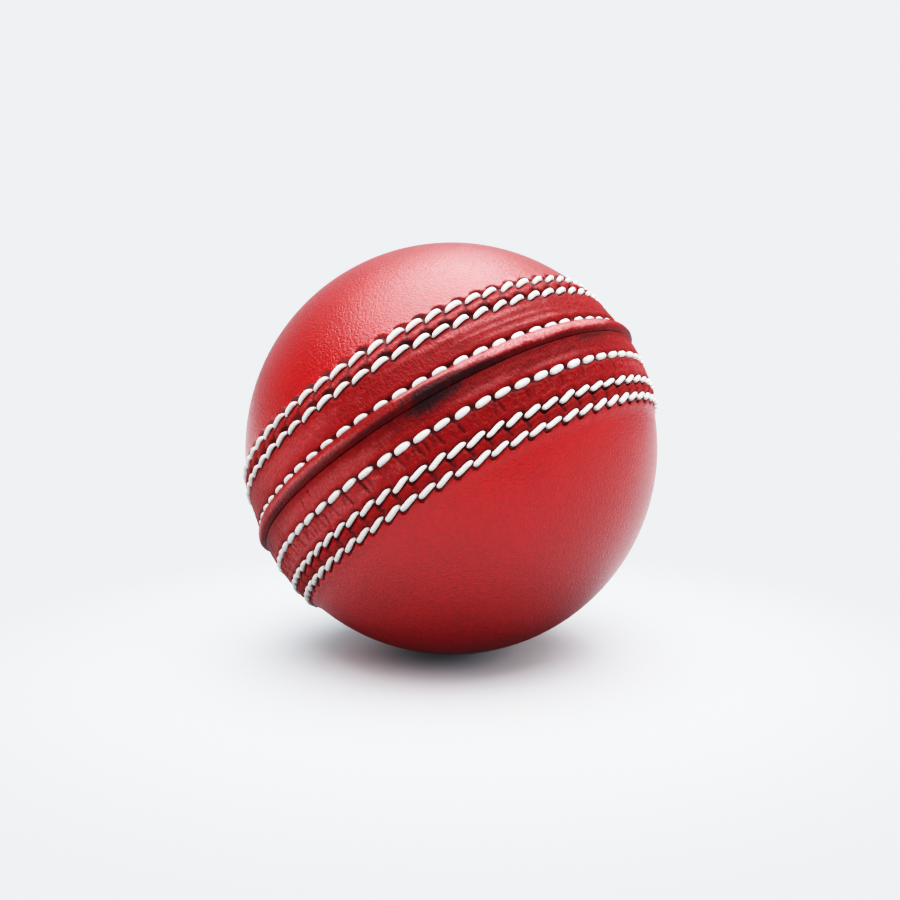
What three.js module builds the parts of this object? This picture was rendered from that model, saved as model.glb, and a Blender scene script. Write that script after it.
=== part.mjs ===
// A cricket ball with a two-piece leather cover, in millimetres.
// Two moulded leather cups meet edge to edge at the seam, over a core of wound wool and cork.
// Six rows of waxed thread, three on each side of the joint, hold the seam together.
// The origin is the centre of the ball, +Z is up, and the ball lies on the lowest point of its cover.
// Inside the seam's own frame the seam's axis is Z, and the joint between the cups is a level ring.

import * as THREE from "three";

// ---- The whole ball
const COVER_RADIUS = 36; // of the leather, away from the seam
const COVER_THICKNESS = 3.6;
const GAP = 0.3; // clearance between pieces that touch on the real ball

// ---- How the ball lies
const SEAM_LEAN = THREE.MathUtils.degToRad(35.6); // of the seam's axis, from upright
const SEAM_HEADING = THREE.MathUtils.degToRad(146.6); // the way that axis leans, turned from +X
const SEAM_FRONT = THREE.MathUtils.degToRad(121.4); // where the stitch rows start, about that axis

// ---- The joint between the cups, and the lips beside it
const JOINT_HEIGHT = -0.5; // the joint runs a little below the ball's middle
// Each lip's outline: height from the joint, and how far the leather stands above the cover's sphere.
const UPPER_LIP = [
  [1.9, 1.05],
  [0.9, 1.1],
  [0.3, 0.7],
];
const LOWER_LIP = [
  [-1.6, 0.5],
  [-0.3, 0.4],
];

// ---- The six rows of stitches, from the top down
// Each has its height from the joint, the rise of the leather under it, its number of stitches,
// and where its first stitch lies, in degrees from SEAM_FRONT.
const ROWS = [
  { height: 11.8, rise: 0.1, stitches: 63, start: 1.7 },
  { height: 8.8, rise: 0.15, stitches: 63, start: 0.9 },
  { height: 3.2, rise: 0.35, stitches: 66, start: 1.2 },
  { height: -4.2, rise: 0.35, stitches: 66, start: 1.0 },
  { height: -8.6, rise: 0.4, stitches: 68, start: 0.8 },
  { height: -11.2, rise: 0.35, stitches: 68, start: 0.1 },
];
const BAND_RISE = 0.2; // of the wide leather bands between the second and third rows
const THREAD_RADIUS = 0.52;
const THREAD_SUNK_RADIUS = 0.34; // where the thread dips into a hole
const THREAD_SINK = 0.16; // how far it dips there
const THREAD_SIDES = 4;
const GROOVE_HALF_WIDTH = 1;
const GROOVE_DEPTH = THREAD_RADIUS + GAP;
const SHOULDER = 2.4; // the leather falls back to the sphere this far outside the last row

// ---- The core, from the outside in
const WINDING_THICKNESS = 3.3;
const CORK_THICKNESS = 2.8;
const WINDING_EYE = 1.2; // radius of the small eye that a winding leaves round its axis

// ---- How finely the round shapes are cut
const CUP_SEGMENTS = 48;
const CUP_STEPS = 7;
const CORE_SEGMENTS = 20;
const CORE_STEPS = 4;

const LEATHER = { color: 0xb3282c, roughness: 0.35, metalness: 0 };
const WAXED_THREAD = { color: 0xe8e2d6, roughness: 0.6, metalness: 0 };
const WOOL_YARN = { color: 0xd8c8a4, roughness: 0.95, metalness: 0 };
const CORK = { color: 0xb78a58, roughness: 0.9, metalness: 0 };
const CORK_RUBBER = { color: 0x6d4b36, roughness: 0.85, metalness: 0 };

/** A named mesh with a material of its own. */
function piece(name, geometry, finish) {
  const mesh = new THREE.Mesh(geometry, new THREE.MeshStandardMaterial(finish));
  mesh.name = name;
  return mesh;
}

/** The point of a sphere's outline at a height. */
function outlinePoint(radius, height) {
  const out = Math.sqrt(Math.max(0, radius * radius - height * height));
  return new THREE.Vector2(out, height);
}

/** Points along a sphere's outline, evenly turned, from one height to another. */
function arc(radius, from, to, steps) {
  const first = Math.asin(from / radius);
  const last = Math.asin(to / radius);
  return Array.from({ length: steps + 1 }, (_, i) => {
    const angle = first + ((last - first) * i) / steps;
    return outlinePoint(radius, radius * Math.sin(angle));
  });
}

/** The solid that an outline sweeps about the Z axis. The outline runs upwards on its outside. */
function revolve(outline, segments) {
  return new THREE.LatheGeometry(outline, segments).rotateX(Math.PI / 2);
}

/** The outline of the leather where a row of stitches beds into it, from the far side to the joint. */
function groove(row) {
  const side = Math.sign(row.height);
  const rises = [row.rise, row.rise - GROOVE_DEPTH, row.rise];
  return rises.map((rise, i) => [row.height + side * (1 - i) * GROOVE_HALF_WIDTH, rise]);
}

/** The outside of one cup, from its pole to the joint, as heights from the joint and rises. */
function seamOutline(rows, bandRise, lip) {
  const [outer, middle, inner] = rows;
  const side = Math.sign(outer.height);
  const shoulder = [outer.height + side * SHOULDER, 0];
  const band = [(middle.height + inner.height) / 2, bandRise];
  return [shoulder, ...groove(outer), ...groove(middle), band, ...groove(inner), ...lip];
}

/** One moulded leather cup: a half sphere, grooved for its three rows, with a raised lip. */
function cup(rows, bandRise, lip) {
  const side = Math.sign(rows[0].height);
  const edge = JOINT_HEIGHT + (side * GAP) / 2;
  const innerRadius = COVER_RADIUS - COVER_THICKNESS;
  const seam = seamOutline(rows, bandRise, lip).map(([height, rise]) =>
    outlinePoint(COVER_RADIUS + rise, JOINT_HEIGHT + height),
  );
  const rim = outlinePoint(COVER_RADIUS, edge);
  const outside = arc(COVER_RADIUS, side * COVER_RADIUS, seam[0].y, CUP_STEPS).slice(0, -1);
  const inside = arc(innerRadius, edge, side * innerRadius, CUP_STEPS);
  const outline = [...outside, ...seam, rim, ...inside];
  return revolve(side > 0 ? outline.reverse() : outline, CUP_SEGMENTS);
}

/** A row of stitches: one thread that swells over each stitch and dips into the hole after it. */
function stitchRow(row) {
  const height = JOINT_HEIGHT + row.height;
  const crest = outlinePoint(COVER_RADIUS + row.rise, height).x;
  const ring = new THREE.TorusGeometry(crest, THREAD_RADIUS, THREAD_SIDES, 2 * row.stitches);
  const points = ring.getAttribute("position");
  for (let i = 0; i < points.count; i++) {
    const turn = Math.atan2(points.getY(i), points.getX(i));
    const dip = (1 - Math.cos(row.stitches * turn)) / 2;
    const size = THREE.MathUtils.lerp(1, THREAD_SUNK_RADIUS / THREAD_RADIUS, dip);
    const out = Math.hypot(points.getX(i), points.getY(i)) - crest;
    const distance = crest + out * size - THREAD_SINK * dip;
    points.setXYZ(i, distance * Math.cos(turn), distance * Math.sin(turn), points.getZ(i) * size);
  }
  return ring.translate(0, 0, height);
}

/** A wound layer of wool: a hollow ball with a small eye at each end of its axis. */
function winding(outerRadius) {
  const innerRadius = outerRadius - WINDING_THICKNESS;
  const top = Math.sqrt(outerRadius ** 2 - WINDING_EYE ** 2);
  const bottom = Math.sqrt(innerRadius ** 2 - WINDING_EYE ** 2);
  const outside = arc(outerRadius, -top, top, 2 * CORE_STEPS);
  const inside = arc(innerRadius, bottom, -bottom, 2 * CORE_STEPS);
  return revolve([...outside, ...inside, outside[0].clone()], CORE_SEGMENTS);
}

/** One half of a cork layer, above the middle (side 1) or below it (side -1). */
function corkHalf(outerRadius, side) {
  const innerRadius = outerRadius - CORK_THICKNESS;
  const edge = (side * GAP) / 2;
  const outside = arc(outerRadius, side * outerRadius, edge, CORE_STEPS);
  const inside = arc(innerRadius, edge, side * innerRadius, CORE_STEPS);
  const outline = [...outside, ...inside];
  return revolve(side > 0 ? outline.reverse() : outline, CORE_SEGMENTS);
}

/** The solid pill of bonded cork and rubber at the centre. */
function corePill(radius) {
  return revolve(arc(radius, -radius, radius, 2 * CORE_STEPS), CORE_SEGMENTS);
}

/** The two leather cups. */
function addCover(seam) {
  seam.add(piece("upper_cup", cup(ROWS.slice(0, 3), BAND_RISE, UPPER_LIP), LEATHER));
  const lowerRows = ROWS.slice(3).reverse();
  seam.add(piece("lower_cup", cup(lowerRows, ROWS[4].rise, LOWER_LIP), LEATHER));
}

/** The six rows of thread, each turned to where its first stitch lies. */
function addStitches(seam) {
  ROWS.forEach((row, i) => {
    const thread = piece(`stitch_row_${i + 1}`, stitchRow(row), WAXED_THREAD);
    thread.rotation.z = SEAM_FRONT + THREE.MathUtils.degToRad(row.start);
    seam.add(thread);
  });
}

/** The wound core: three windings with two cork layers between them, round the pill. */
function addCore(seam) {
  let radius = COVER_RADIUS - COVER_THICKNESS - GAP;
  for (const [windingName, corkName] of [
    ["outer_winding", "outer_cork"],
    ["middle_winding", "inner_cork"],
    ["inner_winding", null],
  ]) {
    seam.add(piece(windingName, winding(radius), WOOL_YARN));
    radius -= WINDING_THICKNESS + GAP;
    if (corkName) {
      seam.add(piece(`${corkName}_upper`, corkHalf(radius, 1), CORK));
      seam.add(piece(`${corkName}_lower`, corkHalf(radius, -1), CORK));
      radius -= CORK_THICKNESS + GAP;
    }
  }
  seam.add(piece("core_pill", corePill(radius), CORK_RUBBER));
}

const ball = new THREE.Group();
const heading = new THREE.Group();
heading.rotation.z = SEAM_HEADING;
const seam = new THREE.Group();
seam.rotation.y = SEAM_LEAN;
ball.add(heading);
heading.add(seam);
addCover(seam);
addStitches(seam);
addCore(seam);

export default ball;
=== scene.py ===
"""A cricket ball at rest: two moulded leather cups, sewn together with six rows of waxed thread.

Sizes of the ball are in millimetres and become metres as a mesh is placed. Every piece is shaped in
the seam's own frame, where the seam's axis is Z and a turn about it is counted from the ball's
front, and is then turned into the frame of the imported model.
"""

import logging
import math
from collections.abc import Iterator, Sequence
from contextlib import contextmanager
from dataclasses import dataclass, field
from enum import Enum

import bpy
import numpy as np
from mathutils import Matrix, Vector, noise


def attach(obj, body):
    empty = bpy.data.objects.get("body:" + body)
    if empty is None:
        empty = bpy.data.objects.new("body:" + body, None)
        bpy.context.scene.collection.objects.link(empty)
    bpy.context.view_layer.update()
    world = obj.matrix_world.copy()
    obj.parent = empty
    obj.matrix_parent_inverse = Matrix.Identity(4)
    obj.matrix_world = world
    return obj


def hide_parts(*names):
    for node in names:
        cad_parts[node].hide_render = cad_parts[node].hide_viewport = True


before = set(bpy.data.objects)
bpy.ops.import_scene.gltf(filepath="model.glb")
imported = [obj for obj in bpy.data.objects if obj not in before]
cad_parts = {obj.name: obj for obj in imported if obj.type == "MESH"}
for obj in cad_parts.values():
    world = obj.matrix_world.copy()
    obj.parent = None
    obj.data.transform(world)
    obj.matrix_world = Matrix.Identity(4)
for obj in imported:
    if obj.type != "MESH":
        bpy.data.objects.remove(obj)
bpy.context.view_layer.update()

LOG = logging.getLogger("cricket_ball")
MM = 0.001
SEED = 1877

Outline = Sequence[tuple[float, float]]
Socket = bpy.types.NodeSocket


# ---------------------------------------------------------------------------- small helpers


def linear(hex_colour: str) -> tuple[float, float, float, float]:
    """Turn an sRGB hex colour into a linear RGBA colour.

    Args:
        hex_colour: Six hex digits, red first.

    Returns:
        The linear colour, with an alpha of one.
    """
    channels = (int(hex_colour[i : i + 2], 16) / 255 for i in (0, 2, 4))
    curve = (c / 12.92 if c <= 0.04045 else ((c + 0.055) / 1.055) ** 2.4 for c in channels)
    return (*curve, 1.0)


def smooth_step(low: float, high: float, value: np.ndarray) -> np.ndarray:
    """Rise smoothly from 0 at low to 1 at high; high may be the smaller of the two."""
    share = np.clip((value - low) / (high - low), 0, 1)
    return share * share * (3 - 2 * share)


def per_mm(size: float) -> float:
    """Turn a pattern's size in millimetres into its scale, which counts repeats in a metre."""
    return 1 / (size * MM)


def add_node(
    tree: bpy.types.NodeTree,
    kind: str,
    inputs: dict[str | int, object] | None = None,
    output: str | int = 0,
    **settings: object,
) -> Socket | None:
    """Add a shader node with its settings, its values and its links.

    Args:
        tree: The node tree that gets the node.
        kind: The node's type name, without ShaderNode.
        inputs: A value or another node's output for each named or numbered input.
        output: The name or number of the output that is handed back.
        settings: Properties of the node itself.

    Returns:
        That output of the new node, or None if it has no outputs.
    """
    node = tree.nodes.new("ShaderNode" + kind)
    for name, value in settings.items():
        setattr(node, name, value)
    for name, value in (inputs or {}).items():
        if isinstance(value, Socket):
            tree.links.new(value, node.inputs[name])
        else:
            node.inputs[name].default_value = value
    return node.outputs[output] if node.outputs else None


def blank_material(name: str) -> tuple[bpy.types.Material, bpy.types.NodeTree]:
    """Start a material whose node tree is empty.

    Args:
        name: The material's name.

    Returns:
        The material and its node tree.
    """
    finish = bpy.data.materials.new(name)
    finish.use_nodes = True
    finish.node_tree.nodes.clear()
    return finish, finish.node_tree


def deselect_all() -> None:
    """Leave object mode as the only mode and nothing selected."""
    if bpy.context.object and bpy.context.object.mode != "OBJECT":
        bpy.ops.object.mode_set(mode="OBJECT")
    bpy.ops.object.select_all(action="DESELECT")


def make_active(piece: bpy.types.Object) -> None:
    """Select one object alone and make it active.

    Args:
        piece: The object.
    """
    deselect_all()
    piece.select_set(True)
    bpy.context.view_layer.objects.active = piece


@contextmanager
def edit_mode(piece: bpy.types.Object, chosen: np.ndarray | None = None) -> Iterator[None]:
    """Open a mesh in edit mode, and leave edit mode at the end.

    Args:
        piece: The object that holds the mesh.
        chosen: Which edges are selected, or None for all that it holds.

    Yields:
        Nothing; edit mode is on meanwhile.
    """
    make_active(piece)
    bpy.ops.object.mode_set(mode="EDIT")
    bpy.ops.mesh.select_mode(type="VERT" if chosen is None else "EDGE")
    bpy.ops.mesh.select_all(action="SELECT" if chosen is None else "DESELECT")
    if chosen is not None:
        bpy.ops.object.mode_set(mode="OBJECT")
        piece.data.edges.foreach_set("select", chosen)
        bpy.ops.object.mode_set(mode="EDIT")
    yield
    bpy.ops.object.mode_set(mode="OBJECT")


def edge_ends(piece: bpy.types.Object) -> np.ndarray:
    """Read the two point numbers of each of a mesh's edges.

    Args:
        piece: The object that holds the mesh.

    Returns:
        Rows of two numbers.
    """
    ends = np.empty(len(piece.data.edges) * 2, np.int32)
    piece.data.edges.foreach_get("vertices", ends)
    return ends.reshape(-1, 2)


def points_of(piece: bpy.types.Object) -> np.ndarray:
    """Read a mesh's points.

    Args:
        piece: The object that holds the mesh.

    Returns:
        Rows of x, y and z.
    """
    flat = np.empty(len(piece.data.vertices) * 3, np.float32)
    piece.data.vertices.foreach_get("co", flat)
    return flat.reshape(-1, 3).astype(float)


def move_points(piece: bpy.types.Object, points: np.ndarray) -> None:
    """Write a mesh's points back."""
    piece.data.vertices.foreach_set("co", points.astype(np.float32).ravel())
    piece.data.update()


def join(pieces: Sequence[bpy.types.Object], name: str) -> bpy.types.Object:
    """Join meshes into one object.

    Args:
        pieces: The objects to join.
        name: The name of the joined object and of its mesh.

    Returns:
        The joined object.
    """
    deselect_all()
    for piece in pieces:
        piece.select_set(True)
    bpy.context.view_layer.objects.active = pieces[0]
    bpy.ops.object.join()
    pieces[0].name = name
    pieces[0].data.name = name
    return pieces[0]


def hand_over(piece: bpy.types.Object, node: str, finish: bpy.types.Material) -> None:
    """Dress a finished piece and let it stand for its CAD node.

    Args:
        piece: The finished object, with its place in its mesh.
        node: The CAD node that it replaces.
        finish: The piece's material.
    """
    piece.data.materials.clear()
    piece.data.materials.append(finish)
    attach(piece, "root")
    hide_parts(node)
    LOG.info("%s: %d faces", piece.name, len(piece.data.polygons))


# ---------------------------------------------------------------------------- the seam's frame


@dataclass(frozen=True)
class SeamFrame:
    """Where the seam lies on the resting ball, in degrees and millimetres."""

    lean: float = 35.6  # of the seam's axis, from upright
    heading: float = 146.6  # the way the axis leans, turned from +X
    front: float = 121.4  # the ball's front, as a turn about the axis
    joint_height: float = -0.5  # of the joint between the cups, along the axis
    radius: float = 36.0  # of the leather away from the seam

    def turned(self) -> Matrix:
        """Give the turn from the seam's frame to the ball's."""
        heading = Matrix.Rotation(math.radians(self.heading), 4, "Z")
        return heading @ Matrix.Rotation(math.radians(self.lean), 4, "Y")

    def settle(self, piece: bpy.types.Object) -> None:
        """Turn a mesh made in millimetres in the seam's frame into metres in the ball's frame."""
        piece.data.transform(self.turned() @ Matrix.Scale(MM, 4))
        piece.data.update()

    def point(self, turn: np.ndarray, height: np.ndarray, rise: np.ndarray) -> np.ndarray:
        """Place points on the cover.

        Args:
            turn: Degrees about the axis, from the front.
            height: Millimetres above the joint.
            rise: Millimetres above the cover's sphere.

        Returns:
            Rows of x, y and z in the seam's frame.
        """
        along = self.joint_height + height
        far = self.radius + rise
        out = np.sqrt(np.maximum(far * far - along * along, 0))
        angle = np.radians(self.front + turn)
        return np.stack([out * np.cos(angle), out * np.sin(angle), along + 0 * out], axis=-1)

    def girth(self, height: float) -> float:
        """Millimetres along a ring at that height for one degree of turn."""
        along = self.joint_height + height
        return math.radians(1) * math.sqrt(self.radius**2 - along**2)


@dataclass(frozen=True)
class Belt:
    """A belt round the ball with soft edges, in millimetres from the joint."""

    outer: tuple[float, float]  # where it has ended, and where it is full
    inner: tuple[float, float] = (-1.0, -0.5)  # the same at its other edge
    strength: float = 1.0

    def share(self, height: np.ndarray) -> np.ndarray:
        """Tell how fully each height lies in the belt, times its strength."""
        return self.strength * smooth_step(*self.inner, height) * smooth_step(*self.outer, height)


# ---------------------------------------------------------------------------- stitches


class Side(Enum):
    """The cup that a row of stitches lies on."""

    UPPER = 1
    LOWER = -1


@dataclass(frozen=True)
class StitchShape:
    """One stitch as it lies on the leather: x runs along the row, y up across it, z outwards."""

    length: float = 3.15
    radius: float = 0.53
    slope: float = 11.0  # degrees, the right end higher
    bow: float = 0.16  # how far the middle lies above the straight line between the ends
    ease: float = 0.0  # how much flatter the ends lie than the middle
    lift: float = 0.12  # of the thread's middle above the leather
    left_sink: float = 0.42  # how far the ends dip below the leather
    right_sink: float = 0.62
    left_radius: float = 0.9  # of the thread near its ends, as a share of its radius
    right_radius: float = 0.72

    def line(self, share: np.ndarray) -> np.ndarray:
        """Follow the thread's middle.

        Args:
            share: From -0.5 at the left end to 0.5 at the right end.

        Returns:
            Rows of x, y and z in millimetres.
        """
        x = share * self.length
        steep = math.tan(math.radians(self.slope)) * (1 + self.ease * (1 - (2 * share) ** 2))
        across = steep * x + self.bow * (1 - (2 * share) ** 2)
        end = np.abs(2 * share) ** 5
        sink = np.where(share < 0, self.left_sink, self.right_sink)
        return np.stack([x, across - 0.5 * self.bow, self.lift - sink * end], axis=-1)

    def thickness(self, share: np.ndarray) -> np.ndarray:
        """Give the thread's radius, closing round at both ends.

        Args:
            share: From -0.5 at the left end to 0.5 at the right end.

        Returns:
            The radius in millimetres.
        """
        taper = np.where(share < 0, self.left_radius, self.right_radius)
        body = 1 - (1 - taper) * np.abs(2 * share) ** 2
        return self.radius * body * np.sqrt(np.maximum(1 - np.abs(2 * share) ** 7, 0))


@dataclass(frozen=True)
class Crease:
    """A line pressed into the leather beside a stitch, or with a depth below zero a pad.

    The line's places are counted from the stitch's middle, along the row and up across it.
    """

    line: Outline
    width: float
    depth: float
    dark: float = 0.0  # how much painted shade its bottom gets, from 0 to 1
    wander: float = 0.0  # how much its depth changes from stitch to stitch, from 0 to 1


@dataclass(frozen=True)
class StitchRow:
    """A row of stitches round the ball."""

    node: str
    side: Side
    height: float  # from the joint
    stitches: int
    start: float  # the turn of its first stitch from the front, in degrees
    shape: StitchShape
    creases: tuple[Crease, ...] = ()
    buried: bool = False  # the leather on the joint's side lies over the thread
    tuck: float = 0.0  # how much deeper it lies where the lip leans over it most
    untucked_turn: float = -10.0  # where it isn't any deeper, here and half way round
    uneven: float = 0.022  # how much its spacing differs, as a share of it

    def pitch(self) -> float:
        """Degrees from one stitch to the next."""
        return 360 / self.stitches

    def turns(self) -> np.ndarray:
        """Place the stitches a little unevenly, as a hand sews them.

        Returns:
            Each stitch's turn from the front, in degrees.
        """
        luck = np.random.default_rng(SEED + self.stitches + int(10 * abs(self.height)))
        uneven = luck.normal(0, self.uneven * self.pitch(), self.stitches)
        return self.start + self.pitch() * np.arange(self.stitches) + uneven

    def sag(self, turn: float) -> float:
        """Tell how much deeper a stitch at that turn lies."""
        return self.tuck * 0.5 * (1 - math.cos(math.radians(2 * (turn - self.untucked_turn))))


def awl_slit(shape: StitchShape, side: Side) -> Crease:
    """Draw the slit that the awl leaves on the side of a stitch away from the joint, with painted shade in
    it.

    Args:
        shape: The stitch.
        side: The cup; on the lower cup the slit is turned half round.

    Returns:
        The slit, from beside the stitch into the gap after it.
    """
    sign = side.value
    end = shape.line(np.array([0.5 * sign]))[0]
    if side is Side.UPPER:
        steps = ((-1.15, 0.72), (-0.50, 0.84), (0.10, 0.62), (0.42, 0.12))
        width = 0.36
    else:
        steps = ((0.65, -0.40), (0.28, -0.48), (0.0, -0.40), (-0.2, -0.08))
        width = 0.17
    return Crease(tuple((end[0] + x, end[1] + y) for x, y in steps), width, 0.50, 0.8, 0.3)


UPPER_SHAPE = StitchShape(
    length=3.35, radius=0.47, slope=10.5, bow=0.26, ease=0.4, left_radius=0.85, right_radius=0.6
)
LOWER_SHAPE = StitchShape(
    length=3.5, radius=0.46, slope=9.5, bow=0.08, ease=0.9, left_radius=0.85, right_radius=0.55
)
TUCKED_SHAPE = StitchShape(
    length=2.7, radius=0.47, slope=2.0, bow=0.22, lift=0.04, left_radius=0.8, right_radius=0.7
)
PRESSED_SHAPE = StitchShape(
    length=3.0, radius=0.57, slope=7.0, bow=0.02, lift=-0.06, left_radius=0.8, right_radius=0.4
)

# Leather gathered between two rows: pads, and the folds between them, with painted shade in the folds.
UPPER_PAD = Crease(((-0.7, -1.45), (0.5, -1.3)), 0.42, -0.24)
UPPER_FOLD = Crease(((1.75, -0.45), (1.5, -1.1), (1.15, -1.7)), 0.24, 0.24, 0.75, 0.4)
LOWER_PAD = Crease(((-0.6, -1.3), (0.8, -1.15)), 0.42, -0.16)
LOWER_FOLD = Crease(((-1.65, -0.5), (-1.7, -1.2), (-1.35, -1.8)), 0.22, 0.24, 0.7, 0.4)
# Short gathers that run away from the row beside the joint, most with painted shade in them.
GATHERS = (
    Crease(((1.6, -0.45), (1.9, -1.3), (2.2, -2.6)), 0.20, 0.44, 0.45, 0.8),
    Crease(((1.5, -0.45), (1.2, -1.2), (1.0, -2.0)), 0.16, 0.34, 0.42, 1.1),
    Crease(((0.6, -0.75), (0.9, -1.4), (0.7, -2.5)), 0.16, 0.28, 0.38, 1.1),
    Crease(((-0.4, -0.85), (-0.1, -1.5), (-0.3, -2.6)), 0.16, 0.26, 0.38, 1.1),
    Crease(((0.2, -0.8), (0.6, -1.5), (1.3, -2.2)), 0.26, -0.16, 0.0, 0.9),
    Crease(((1.55, 0.0), (1.6, -0.45)), 0.20, 0.38, 0.95, 0.3),
)
# The hole where a buried stitch goes in, with painted shade in it.
TUCK_HOLE = Crease(((1.5, 0.05), (1.75, 0.22)), 0.22, 0.42, 0.95, 0.4)
# Fine cracks across the lower lip, with painted shade in them.
LIP_CRACKS = (
    Crease(((0.9, 1.2), (0.75, 2.3), (0.85, 3.4)), 0.09, 0.16, 0.55, 1.6),
    Crease(((-0.6, 2.4), (-0.5, 3.5)), 0.09, 0.13, 0.45, 1.6),
)

ROWS = (
    StitchRow(
        "stitch_row_1", Side.UPPER, 11.8, 63, 1.7, UPPER_SHAPE,
        (awl_slit(UPPER_SHAPE, Side.UPPER), UPPER_FOLD, UPPER_PAD),
    ),
    StitchRow(
        "stitch_row_2", Side.UPPER, 8.8, 63, 0.9, UPPER_SHAPE,
        (awl_slit(UPPER_SHAPE, Side.UPPER),),
    ),
    StitchRow(
        "stitch_row_3", Side.UPPER, 2.92, 66, 1.2, TUCKED_SHAPE, (TUCK_HOLE,), buried=True, tuck=0.42
    ),
    StitchRow("stitch_row_4", Side.LOWER, -4.3, 66, 1.0, PRESSED_SHAPE, GATHERS + LIP_CRACKS),
    StitchRow(
        "stitch_row_5", Side.LOWER, -8.6, 68, 0.8, LOWER_SHAPE,
        (awl_slit(LOWER_SHAPE, Side.LOWER), LOWER_FOLD, LOWER_PAD),
    ),
    StitchRow(
        "stitch_row_6", Side.LOWER, -11.3, 68, 0.1, LOWER_SHAPE,
        (awl_slit(LOWER_SHAPE, Side.LOWER),),
    ),
)


# ---------------------------------------------------------------------------- the leather's relief


@dataclass(frozen=True)
class Relief:
    """What the sewing does to the leather: beds, slits, folds and pads round the stitches, and the painted
    shade in them.
    """

    seam: SeamFrame
    rows: tuple[StitchRow, ...]
    bed_width: float = 0.58
    bed_depth: float = 0.30
    reach: float = 4.0  # how far from a row its sewing shows
    puff: tuple[float, float, float] = (0.07, 1.0, 0.35)  # its rise beside a stitch, how far off, how wide
    contact_shade: tuple[float, float, float] = (0.6, 0.72, 0.42)  # painted shade where the thread meets the leather: how dark, from how far to how near a stitch
    shade: tuple[float, float] = (1.7, 0.75)  # where a crease's painted shade starts and is full, in widths of it
    cover: tuple[float, float] = (-0.45, 0.05)  # where the leather over a buried thread ends
    slack: tuple[float, float] = (0.7, 0.6)  # loose creases are deeper on one side of the ball
    slack_turn: float = -42.0
    loose: float = 0.6  # a crease that wanders more than this is loose

    def shape(self, turn: np.ndarray, height: np.ndarray) -> tuple[np.ndarray, np.ndarray]:
        """Work out the relief.

        Args:
            turn: Degrees from the front, one for each point.
            height: Millimetres from the joint, one for each point.

        Returns:
            The rise of each point in millimetres, and how much painted shade it gets, from 0 to 1.
        """
        rise = np.zeros_like(turn)
        dark = np.zeros_like(turn)
        for row in self.rows:
            near = np.abs(height - row.height) < self.reach
            row_rise, row_dark = self._row(row, turn[near], height[near])
            rise[near] += row_rise
            dark[near] = np.maximum(dark[near], row_dark)
        return rise, dark

    def _row(
        self, row: StitchRow, turn: np.ndarray, height: np.ndarray
    ) -> tuple[np.ndarray, np.ndarray]:
        """Work out what one row of stitches does to the points near it.

        Args:
            row: The row.
            turn: Degrees from the front, one for each point.
            height: Millimetres from the joint, one for each point.

        Returns:
            The rise of each point in millimetres, and how much painted shade it gets, from 0 to 1.
        """
        centres = row.turns()
        nearest = np.round((turn - row.start) / row.pitch()).astype(int)
        luck = np.random.default_rng(SEED + int(100 * abs(row.height)))
        strength = luck.uniform(0, 1, (len(row.creases), row.stitches))
        slack = self.slack[0] + self.slack[1] * np.cos(np.radians(turn - self.slack_turn))
        up = height - row.height
        bed = np.full_like(turn, np.inf)
        cut = np.zeros_like(turn)
        pad = np.zeros_like(turn)
        dark = np.zeros_like(turn)
        for step in (-1, 0, 1):
            stitch = (nearest + step) % row.stitches
            away = (turn - centres[stitch] + 180) % 360 - 180
            along = away * self.seam.girth(row.height)
            thread = row.shape.line(np.linspace(-0.44, 0.44, 5))[:, :2]
            bed = np.minimum(bed, distance_to(thread, along, up))
            for number, crease in enumerate(row.creases):
                gap = distance_to(crease.line, along, up)
                force = np.maximum(1 - crease.wander * strength[number, stitch], 0)
                if crease.wander > self.loose:
                    force = force * slack
                press = crease.depth * force * np.exp(-((gap / crease.width) ** 2))
                cut = np.maximum(cut, press)
                pad = np.maximum(pad, -press)
                edges = (width * crease.width for width in self.shade)
                dark = np.maximum(dark, crease.dark * force * smooth_step(*edges, gap))
        open_side = smooth_step(*self.cover, up) if row.buried else 1.0
        sunk = open_side * self.bed_depth * np.exp(-((bed / self.bed_width) ** 4))
        rise, away, width = self.puff
        puffed = rise * np.exp(-(((bed - away) / width) ** 2))
        darkest, *edges = self.contact_shade
        return puffed + pad - sunk - cut, np.maximum(dark, darkest * open_side * smooth_step(*edges, bed))


class Wear(Enum):
    """What years of play leave on the leather, with painted shade and painted sheen laid on the same way.
    """

    SOOT_AND_SHADE = "dark"
    SCUFF_AND_SHEEN = "scuff_and_sheen"


@dataclass(frozen=True)
class Mark:
    """A patch of dirt, wear, painted shade or painted sheen, longer along the seam than across it."""

    kind: Wear
    turn: float
    height: float
    along: float
    across: float
    strength: float


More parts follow.
